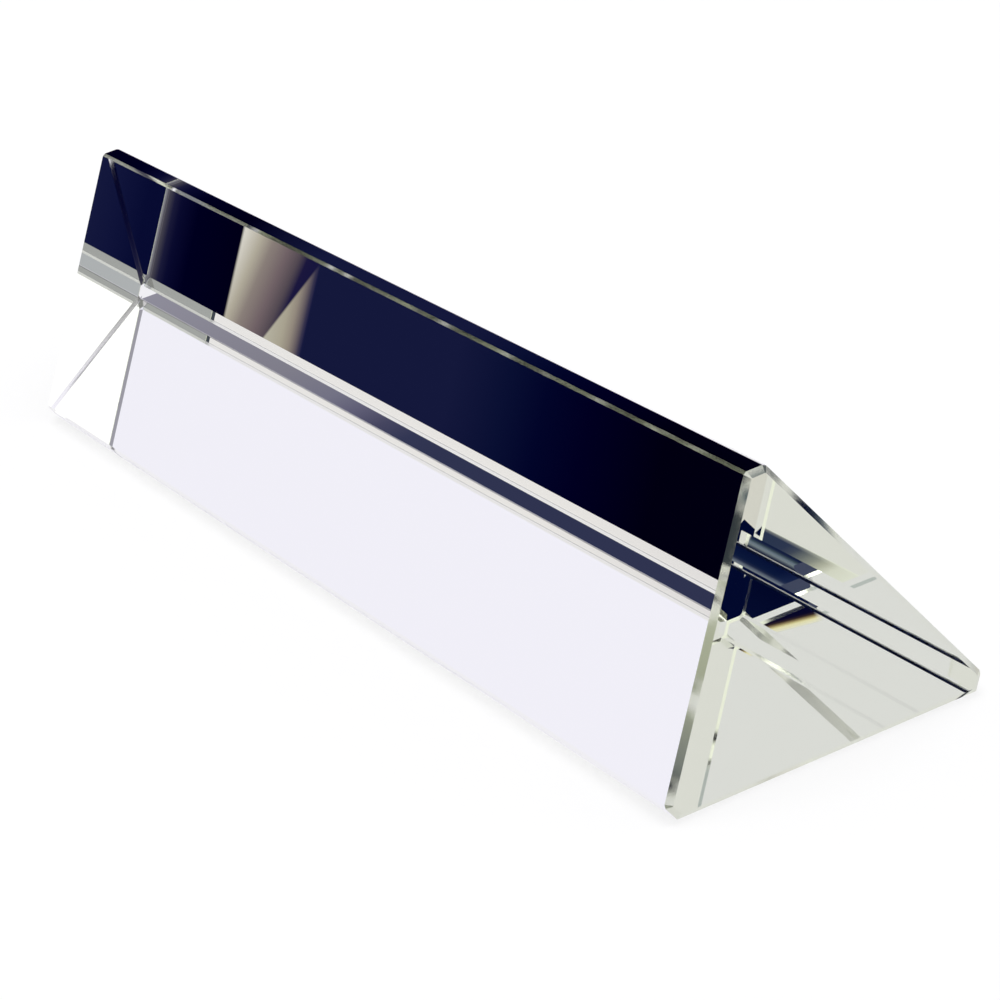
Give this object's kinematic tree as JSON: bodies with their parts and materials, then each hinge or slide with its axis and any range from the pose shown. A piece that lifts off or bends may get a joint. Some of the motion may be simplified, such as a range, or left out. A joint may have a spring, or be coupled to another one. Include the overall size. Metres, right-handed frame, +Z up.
{
  "type": "equilateral prism",
  "caption": "Solid clear glass bar of triangular section with flats ground along its edges, which bends light and spreads it into a spectrum.",
  "frame": {"origin": "centre of the bottom long face, on the surface that the prism rests on", "axes": "+X along the bar to one end face, +Y from the front long face to the back one, +Z up through the apex"},
  "size_m": [0.15, 0.0282, 0.0244],
  "materials": {
    "optical_glass": "polished faces, fine-ground edge flats and bevels"
  },
  "bodies": {
    "root": {"glass_prism": "optical_glass"}
  },
  "joints": []
}
